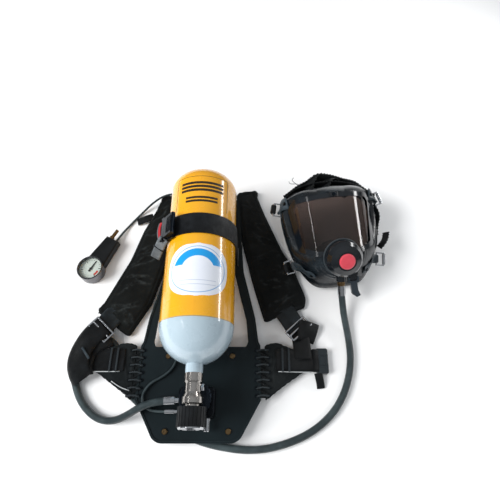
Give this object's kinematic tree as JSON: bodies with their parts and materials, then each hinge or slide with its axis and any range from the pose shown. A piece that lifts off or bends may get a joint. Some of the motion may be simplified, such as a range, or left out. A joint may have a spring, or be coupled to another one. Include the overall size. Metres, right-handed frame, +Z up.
{
  "type": "breathing apparatus",
  "caption": "Self-contained breathing apparatus with air cylinder on a backplate, harness, full face mask with demand valve, and pressure gauge, laid out flat.",
  "frame": {"origin": "centre of the lumbar pad's flat face, on the surface that the set lies on", "axes": "+Z up from that surface, +Y along the cylinder away from its valve, +X to the right seen from the valve"},
  "size_m": [0.6838, 0.5823, 0.1791],
  "materials": {
    "cylinder_paint": "gloss amber paint over an aluminium shell",
    "carrier_plastic": "moulded composite",
    "pad_fabric": "woven cover over foam",
    "webbing": "woven polyester webbing",
    "lacing": "braided cord",
    "bright_metal": "nickel plated brass",
    "dark_metal": "black coated steel",
    "brass_screws": "brass",
    "reducer_metal": "grey anodised",
    "wheel_rubber": "ribbed rubber",
    "spring_steel": "wound wire",
    "hose_rubber": "smooth rubber",
    "dial_face": "printed dial",
    "needle": "black needle",
    "clear_lens": "clear",
    "gauge_rubber": "soft boot",
    "whistle_brass": "brass",
    "mask_rubber": "moulded rubber",
    "visor": "clear polycarbonate",
    "frame_plastic": "moulded frame",
    "silicone": "soft silicone",
    "harness_rubber": "rubber strap",
    "valve_plastic": "moulded",
    "button_red": "soft button",
    "buckle_plastic": "moulded"
  },
  "bodies": {
    "carrier": {"backplate": "carrier_plastic", "plate_screws": "brass_screws", "lumbar_pad": "pad_fabric", "back_pad": "pad_fabric", "wing_lacing": "lacing", "cylinder_shell": "cylinder_paint", "cylinder_strap": "webbing", "strap_buckle_frame": "dark_metal", "strap_buckle_pin": "bright_metal", "valve_body": "bright_metal", "burst_disc_plug": "bright_metal", "reducer_body": "reducer_metal", "reducer_cap": "reducer_metal", "reducer_spring": "spring_steel", "relief_valve": "bright_metal", "hose_ferrules": "bright_metal", "medium_pressure_hose": "hose_rubber", "gauge_hose": "hose_rubber", "gauge_case": "bright_metal", "gauge_boot": "gauge_rubber", "gauge_dial": "dial_face", "gauge_lens": "clear_lens", "whistle": "whistle_brass", "waist_buckle_socket": "bright_metal", "waist_buckle_tongue": "bright_metal", "shoulder_strap_left": "webbing", "shoulder_strap_right": "webbing", "mask_facepiece": "mask_rubber", "mask_visor": "visor", "visor_frame": "frame_plastic", "oronasal_cup": "silicone", "head_harness": "harness_rubber", "mask_buckle_clips": "buckle_plastic", "demand_valve_housing": "valve_plastic", "demand_valve_cover": "valve_plastic", "demand_valve_diaphragm": "silicone", "inlet_swivel": "brass_screws", "shoulder_pad_left": "pad_fabric", "shoulder_pad_right": "pad_fabric", "waist_pad_left": "pad_fabric", "waist_pad_right": "pad_fabric", "waist_strap_left": "webbing", "waist_strap_right": "webbing"},
    "handwheel": {"handwheel_grip": "wheel_rubber", "handwheel_hub": "bright_metal"},
    "valve_plug": {"valve_plug": "brass_screws"},
    "strap_lever": {"strap_buckle_lever": "dark_metal"},
    "hand_nut": {"hand_nut": "dark_metal"},
    "reducer_piston": {"reducer_piston": "brass_screws"},
    "gauge_needle": {"gauge_needle": "needle"},
    "waist_button": {"waist_buckle_button": "buckle_plastic"},
    "slide_buckle_left": {"slide_buckle_left": "bright_metal"},
    "slide_buckle_right": {"slide_buckle_right": "bright_metal"},
    "temple_loop_left": {"temple_loop_left": "bright_metal"},
    "temple_loop_right": {"temple_loop_right": "bright_metal"},
    "cheek_loop_left": {"cheek_loop_left": "bright_metal"},
    "cheek_loop_right": {"cheek_loop_right": "bright_metal"},
    "bypass_button": {"demand_valve_button": "button_red"},
    "demand_lever": {"demand_valve_lever": "carrier_plastic"},
    "exhalation_disc": {"exhalation_disc": "silicone"}
  },
  "joints": [
    {"name": "handwheel_turn", "type": "hinge", "parent": "carrier", "child": "handwheel", "pos_m": [0, -0.086, 0.104], "axis": [0, -1, 0], "range_deg": [0, 720]},
    {"name": "valve_plug_lift", "type": "slide", "parent": "carrier", "child": "valve_plug", "axis": [0, -1, 0], "range_m": [0, 0.004]},
    {"name": "strap_lever_open", "type": "hinge", "parent": "carrier", "child": "strap_lever", "pos_m": [-0.072, 0.255, 0.14503], "axis": [0, -1, 0], "range_deg": [0, 100]},
    {"name": "hand_nut_turn", "type": "hinge", "parent": "carrier", "child": "hand_nut", "pos_m": [0, -0.052, 0.063], "axis": [0, 0, 1], "range_deg": [0, 720]},
    {"name": "piston_travel", "type": "slide", "parent": "carrier", "child": "reducer_piston", "axis": [0, 0, 1], "range_m": [0, 0.003], "stiffness_N_per_m": 4000, "deforming": ["reducer_spring"]},
    {"name": "needle_turn", "type": "hinge", "parent": "carrier", "child": "gauge_needle", "pos_m": [-0.255, 0.225, 0.0215], "axis": [0, 0, -1], "range_deg": [0, 270]},
    {"name": "waist_button_press", "type": "slide", "parent": "carrier", "child": "waist_button", "axis": [0, 0, -1], "range_m": [0, 0.003], "stiffness_N_per_m": 900},
    {"name": "slide_left_flip", "type": "hinge", "parent": "carrier", "child": "slide_buckle_left", "pos_m": [-0.199, 0.095, 0.0272], "axis": [-0.7413, 0.6712, 0], "range_deg": [0, 70]},
    {"name": "slide_right_flip", "type": "hinge", "parent": "carrier", "child": "slide_buckle_right", "pos_m": [0.193, 0.1, 0.0145], "axis": [-0.7507, -0.6606, 0], "range_deg": [0, 70]},
    {"name": "temple_loop_left_swing", "type": "hinge", "parent": "carrier", "child": "temple_loop_left", "pos_m": [0.16917, 0.34065, 0.07883], "axis": [0.1381, 0.9337, 0.3304], "range_deg": [-30, 60]},
    {"name": "temple_loop_right_swing", "type": "hinge", "parent": "carrier", "child": "temple_loop_right", "pos_m": [0.37539, 0.3678, 0.07883], "axis": [0.3751, -0.8661, -0.3304], "range_deg": [-30, 60]},
    {"name": "cheek_loop_left_swing", "type": "hinge", "parent": "carrier", "child": "cheek_loop_left", "pos_m": [0.19454, 0.22457, 0.03573], "axis": [-0.293, 0.8948, 0.3368], "range_deg": [-30, 60]},
    {"name": "cheek_loop_right_swing", "type": "hinge", "parent": "carrier", "child": "cheek_loop_right", "pos_m": [0.37968, 0.24326, 0.03368], "axis": [-0.0514, -0.9402, -0.3368], "range_deg": [-30, 60]},
    {"name": "bypass_press", "type": "slide", "parent": "carrier", "child": "bypass_button", "axis": [-0.0856, 0.6504, -0.7547], "range_m": [0, 0.004], "stiffness_N_per_m": 900},
    {"name": "demand_lever_swing", "type": "hinge", "parent": "carrier", "child": "demand_lever", "pos_m": [0.31635, 0.18803, 0.05937], "axis": [-0.9914, -0.1305, 0], "range_deg": [0, 60]},
    {"name": "exhalation_lift", "type": "slide", "parent": "carrier", "child": "exhalation_disc", "axis": [0.0856, -0.6504, 0.7547], "range_m": [0, 0.0015], "stiffness_N_per_m": 300}
  ],
  "couplings": [
    {"joint": "valve_plug_lift", "follows": "handwheel_turn", "m_per_rad": 0.000318}
  ]
}
